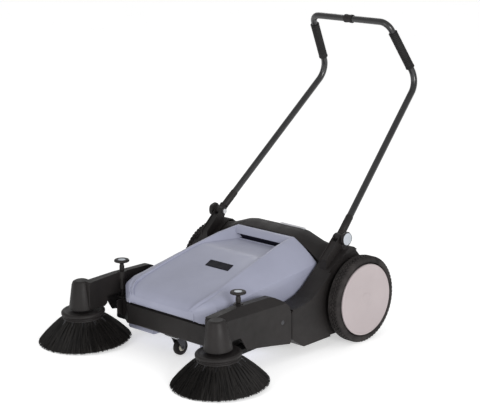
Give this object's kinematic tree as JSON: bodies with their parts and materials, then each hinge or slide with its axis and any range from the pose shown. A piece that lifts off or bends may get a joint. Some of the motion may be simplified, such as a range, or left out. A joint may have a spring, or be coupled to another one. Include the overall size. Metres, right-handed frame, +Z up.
{
  "type": "walk behind sweeper",
  "caption": "Manual push sweeper with a lift-out debris hopper, wheel-driven main and side brushes, a front caster and a folding push handle.",
  "frame": {"origin": "on the floor, under the middle of the machine's overall box", "axes": "+Z up, -Y to the front where the side brushes are, +Y to the operator; the nodes named right_ are on the +X side"},
  "size_m": [0.92, 1.2004, 0.9983],
  "materials": {
    "black_plastic": "fine-textured moulded black plastic",
    "slate_plastic": "satin grey-blue moulded plastic",
    "hubcap_plastic": "smooth warm grey plastic",
    "tyre_rubber": "black solid rubber",
    "soft_rubber": "flexible black rubber",
    "grip_rubber": "soft ribbed rubber",
    "bare_steel": "zinc-plated steel",
    "tube_paint": "semi-gloss black powder coat on steel tube",
    "bristle": "stiff black polypropylene bristle",
    "nylon": "natural nylon"
  },
  "bodies": {
    "chassis": {"right_side_housing": "black_plastic", "left_side_housing": "black_plastic", "right_inner_panel": "black_plastic", "left_inner_panel": "black_plastic", "right_brush_bearing": "bare_steel", "left_brush_bearing": "bare_steel", "right_pivot_pin": "bare_steel", "left_pivot_pin": "bare_steel", "right_handle_bracket": "black_plastic", "left_handle_bracket": "black_plastic", "right_clamp_bolt": "bare_steel", "left_clamp_bolt": "bare_steel", "right_drive_belt": "soft_rubber", "left_drive_belt": "soft_rubber", "wheel_axle": "bare_steel", "front_bumper": "black_plastic", "rear_cover": "black_plastic", "rear_panel": "black_plastic", "rear_skirt": "soft_rubber", "caster_plate": "bare_steel"},
    "main_brush": {"main_brush_shaft": "bare_steel", "main_brush_core": "nylon", "main_brush_bristles": "bristle", "right_cluster_pinion": "nylon"},
    "left_pinion": {"left_cluster_pinion": "nylon"},
    "hopper": {"hopper_cover": "slate_plastic", "hopper_tub": "slate_plastic"},
    "handle": {"right_handle_socket": "black_plastic", "left_handle_socket": "black_plastic", "right_handle_tube": "tube_paint", "left_handle_tube": "tube_paint", "right_grip": "grip_rubber", "left_grip": "grip_rubber", "handle_sleeve": "black_plastic"},
    "caster_swivel": {"caster_fork": "bare_steel"},
    "caster_roller": {"caster_wheel": "tyre_rubber"},
    "right_wheel": {"right_tyre": "tyre_rubber", "right_wheel_rim": "black_plastic", "right_hubcap": "hubcap_plastic", "right_drive_gear": "nylon"},
    "right_idler": {"right_pivot_pulley": "nylon"},
    "right_arm": {"right_arm_housing": "black_plastic"},
    "right_side_brush": {"right_side_brush_bristles": "bristle", "right_side_brush_plate": "black_plastic", "right_side_brush_spindle": "bare_steel"},
    "right_height_adjuster": {"right_height_knob": "black_plastic"},
    "right_clamp": {"right_clamp_knob": "black_plastic"},
    "left_wheel": {"left_tyre": "tyre_rubber", "left_wheel_rim": "black_plastic", "left_hubcap": "hubcap_plastic", "left_drive_gear": "nylon"},
    "left_idler": {"left_pivot_pulley": "nylon"},
    "left_arm": {"left_arm_housing": "black_plastic"},
    "left_side_brush": {"left_side_brush_bristles": "bristle", "left_side_brush_plate": "black_plastic", "left_side_brush_spindle": "bare_steel"},
    "left_height_adjuster": {"left_height_knob": "black_plastic"},
    "left_clamp": {"left_clamp_knob": "black_plastic"}
  },
  "joints": [
    {"name": "right_wheel_spin", "type": "hinge", "parent": "chassis", "child": "right_wheel", "pos_m": [0, 0.1674, 0.141], "axis": [1, 0, 0], "continuous": true},
    {"name": "right_pivot_pulley_spin", "type": "hinge", "parent": "chassis", "child": "right_idler", "pos_m": [0, -0.1726, 0.132], "axis": [1, 0, 0], "continuous": true},
    {"name": "right_arm_lift", "type": "hinge", "parent": "chassis", "child": "right_arm", "pos_m": [0.285, -0.1726, 0.132], "axis": [-1, 0, 0], "range_deg": [0, 3]},
    {"name": "right_side_brush_spin", "type": "hinge", "parent": "right_arm", "child": "right_side_brush", "pos_m": [0.3085, -0.4486, 0.00912], "axis": [0, -0.0599, 0.9982], "continuous": true},
    {"name": "right_height_knob_turn", "type": "hinge", "parent": "right_arm", "child": "right_height_adjuster", "pos_m": [0.26375, -0.3236, 0.258], "axis": [0, 0, 1], "range_deg": [-360, 360]},
    {"name": "right_clamp_knob_turn", "type": "hinge", "parent": "chassis", "child": "right_clamp", "pos_m": [0.3, 0.1344, 0.338], "axis": [1, 0, 0], "range_deg": [-360, 360]},
    {"name": "left_wheel_spin", "type": "hinge", "parent": "chassis", "child": "left_wheel", "pos_m": [0, 0.1674, 0.141], "axis": [1, 0, 0], "continuous": true},
    {"name": "left_pivot_pulley_spin", "type": "hinge", "parent": "chassis", "child": "left_idler", "pos_m": [0, -0.1726, 0.132], "axis": [1, 0, 0], "continuous": true},
    {"name": "left_arm_lift", "type": "hinge", "parent": "chassis", "child": "left_arm", "pos_m": [-0.285, -0.1726, 0.132], "axis": [-1, 0, 0], "range_deg": [0, 3]},
    {"name": "left_side_brush_spin", "type": "hinge", "parent": "left_arm", "child": "left_side_brush", "pos_m": [-0.3085, -0.4486, 0.00912], "axis": [0, -0.0599, 0.9982], "continuous": true},
    {"name": "left_height_knob_turn", "type": "hinge", "parent": "left_arm", "child": "left_height_adjuster", "pos_m": [-0.26375, -0.3236, 0.258], "axis": [0, 0, 1], "range_deg": [-360, 360]},
    {"name": "left_clamp_knob_turn", "type": "hinge", "parent": "chassis", "child": "left_clamp", "pos_m": [-0.3, 0.1344, 0.338], "axis": [1, 0, 0], "range_deg": [-360, 360]},
    {"name": "main_brush_spin", "type": "hinge", "parent": "chassis", "child": "main_brush", "pos_m": [0, 0.0204, 0.11115], "axis": [1, 0, 0], "continuous": true},
    {"name": "left_pinion_spin", "type": "hinge", "parent": "chassis", "child": "left_pinion", "pos_m": [-0.262, 0.0204, 0.11115], "axis": [1, 0, 0], "continuous": true},
    {"name": "hopper_lift_out", "type": "slide", "parent": "chassis", "child": "hopper", "axis": [0, 0, 1], "range_m": [0, 0.25]},
    {"name": "handle_fold", "type": "hinge", "parent": "chassis", "child": "handle", "pos_m": [0, 0.1344, 0.338], "axis": [1, 0, 0], "range_deg": [-20, 110]},
    {"name": "caster_swivel_turn", "type": "hinge", "parent": "chassis", "child": "caster_swivel", "pos_m": [0.014, -0.3426, 0.065], "axis": [0, 0, 1], "continuous": true},
    {"name": "caster_wheel_spin", "type": "hinge", "parent": "caster_swivel", "child": "caster_roller", "pos_m": [0.014, -0.3306, 0.026], "axis": [1, 0, 0], "continuous": true}
  ],
  "couplings": [
    {"joint": "right_pivot_pulley_spin", "follows": "right_wheel_spin", "ratio": -1.5},
    {"joint": "right_side_brush_spin", "follows": "right_wheel_spin", "ratio": -2.1176},
    {"joint": "left_pivot_pulley_spin", "follows": "left_wheel_spin", "ratio": -1.5},
    {"joint": "left_side_brush_spin", "follows": "left_wheel_spin", "ratio": 2.1176},
    {"joint": "main_brush_spin", "follows": "right_wheel_spin", "ratio": -1.5},
    {"joint": "left_pinion_spin", "follows": "left_wheel_spin", "ratio": -1.5}
  ]
}
